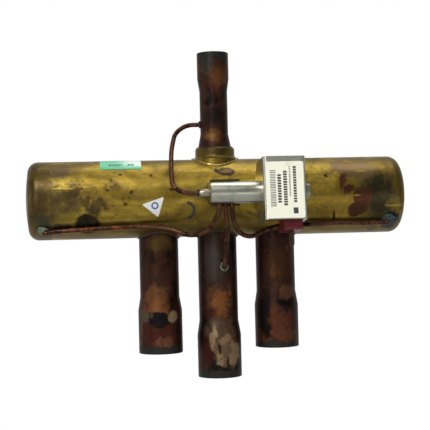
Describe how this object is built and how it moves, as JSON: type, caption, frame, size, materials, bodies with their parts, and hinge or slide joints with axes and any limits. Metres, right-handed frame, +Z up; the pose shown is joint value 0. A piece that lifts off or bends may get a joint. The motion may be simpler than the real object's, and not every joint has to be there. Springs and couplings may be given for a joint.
{
  "type": "four way reversing valve",
  "caption": "Refrigerant reversing valve: brass shuttle body with copper stubs, worked by a solenoid pilot valve through bent capillary tubes.",
  "frame": {"origin": "centre of the suction stub's mouth, the lowest point of the valve", "axes": "+X along the valve body towards the coil's side, +Z up the discharge stub, -Y towards the pilot valve and coil"},
  "size_m": [0.215, 0.0753, 0.185],
  "materials": {
    "body_brass": "dull, with brown and grey heat tarnish",
    "left_cap_brass": "dull, darkly tarnished",
    "right_cap_brass": "dull, tarnished",
    "boss_brass": "dull, with a bright brazed edge",
    "left_stub_copper": "heat oxidised copper",
    "suction_stub_copper": "heat oxidised copper with pale flux",
    "right_stub_copper": "heat oxidised copper, reddish",
    "discharge_stub_copper": "heat oxidised copper, blackened at the mouth",
    "capillary_copper": "oxidised copper",
    "pilot_steel": "bright drawn stainless steel",
    "plug_steel": "turned stainless steel, dulled by brazing",
    "bracket_steel": "pressed steel, browned by brazing",
    "seat_brass": "machined, lapped on its face",
    "inner_steel": "plain stamped and turned steel",
    "spring_steel": "spring steel",
    "slide_nylon": "moulded nylon",
    "seal_ptfe": "filled PTFE sheet",
    "frame_zinc": "zinc plated, dulled",
    "moulding_red": "dark red moulded resin",
    "bobbin_nylon": "moulded nylon",
    "winding_copper": "enamelled copper wire",
    "terminal_brass": "tinned brass, darkened",
    "screw_steel": "zinc plated steel",
    "coil_label": "printed polyester film",
    "green_label": "printed film",
    "triangle_tag": "printed paper"
  },
  "bodies": {
    "valve": {"valve_body_tube": "body_brass", "left_end_cap": "left_cap_brass", "right_end_cap": "right_cap_brass", "discharge_boss": "boss_brass", "discharge_stub": "discharge_stub_copper", "left_stub": "left_stub_copper", "suction_stub": "suction_stub_copper", "right_stub": "right_stub_copper", "valve_seat_block": "seat_brass", "pilot_sleeve": "pilot_steel", "pilot_plug": "plug_steel", "pilot_seat": "seat_brass", "return_spring": "spring_steel", "fixed_core": "inner_steel", "pilot_bracket": "bracket_steel", "coil_frame": "frame_zinc", "coil_moulding": "moulding_red", "coil_bobbin": "bobbin_nylon", "coil_winding": "winding_copper", "front_terminal_blade": "terminal_brass", "rear_terminal_blade": "terminal_brass", "lock_washer": "screw_steel", "coil_screw": "screw_steel", "coil_label": "coil_label", "left_capillary": "capillary_copper", "suction_capillary": "capillary_copper", "right_capillary": "capillary_copper", "discharge_capillary": "capillary_copper", "green_label": "green_label", "triangle_tag": "triangle_tag"},
    "shuttle": {"main_slide": "slide_nylon", "slide_leaf_spring": "spring_steel", "shuttle_yoke": "inner_steel", "left_piston_disc": "inner_steel", "left_piston_seal": "seal_ptfe", "left_seal_expander": "spring_steel", "left_clamp_disc": "inner_steel", "right_piston_disc": "inner_steel", "right_piston_seal": "seal_ptfe", "right_seal_expander": "spring_steel", "right_clamp_disc": "inner_steel", "piston_screws": "inner_steel"},
    "pilot_plunger": {"plunger": "inner_steel", "pilot_carrier": "inner_steel", "pilot_slide": "slide_nylon", "pilot_leaf_spring": "spring_steel"}
  },
  "joints": [
    {"name": "shuttle_slide", "type": "slide", "parent": "valve", "child": "shuttle", "axis": [1, 0, 0], "range_m": [0, 0.0335]},
    {"name": "plunger_slide", "type": "slide", "parent": "valve", "child": "pilot_plunger", "axis": [1, 0, 0], "range_m": [0, 0.0034], "stiffness_N_per_m": 300, "springref_m": -0.006, "deforming": ["return_spring"]}
  ]
}
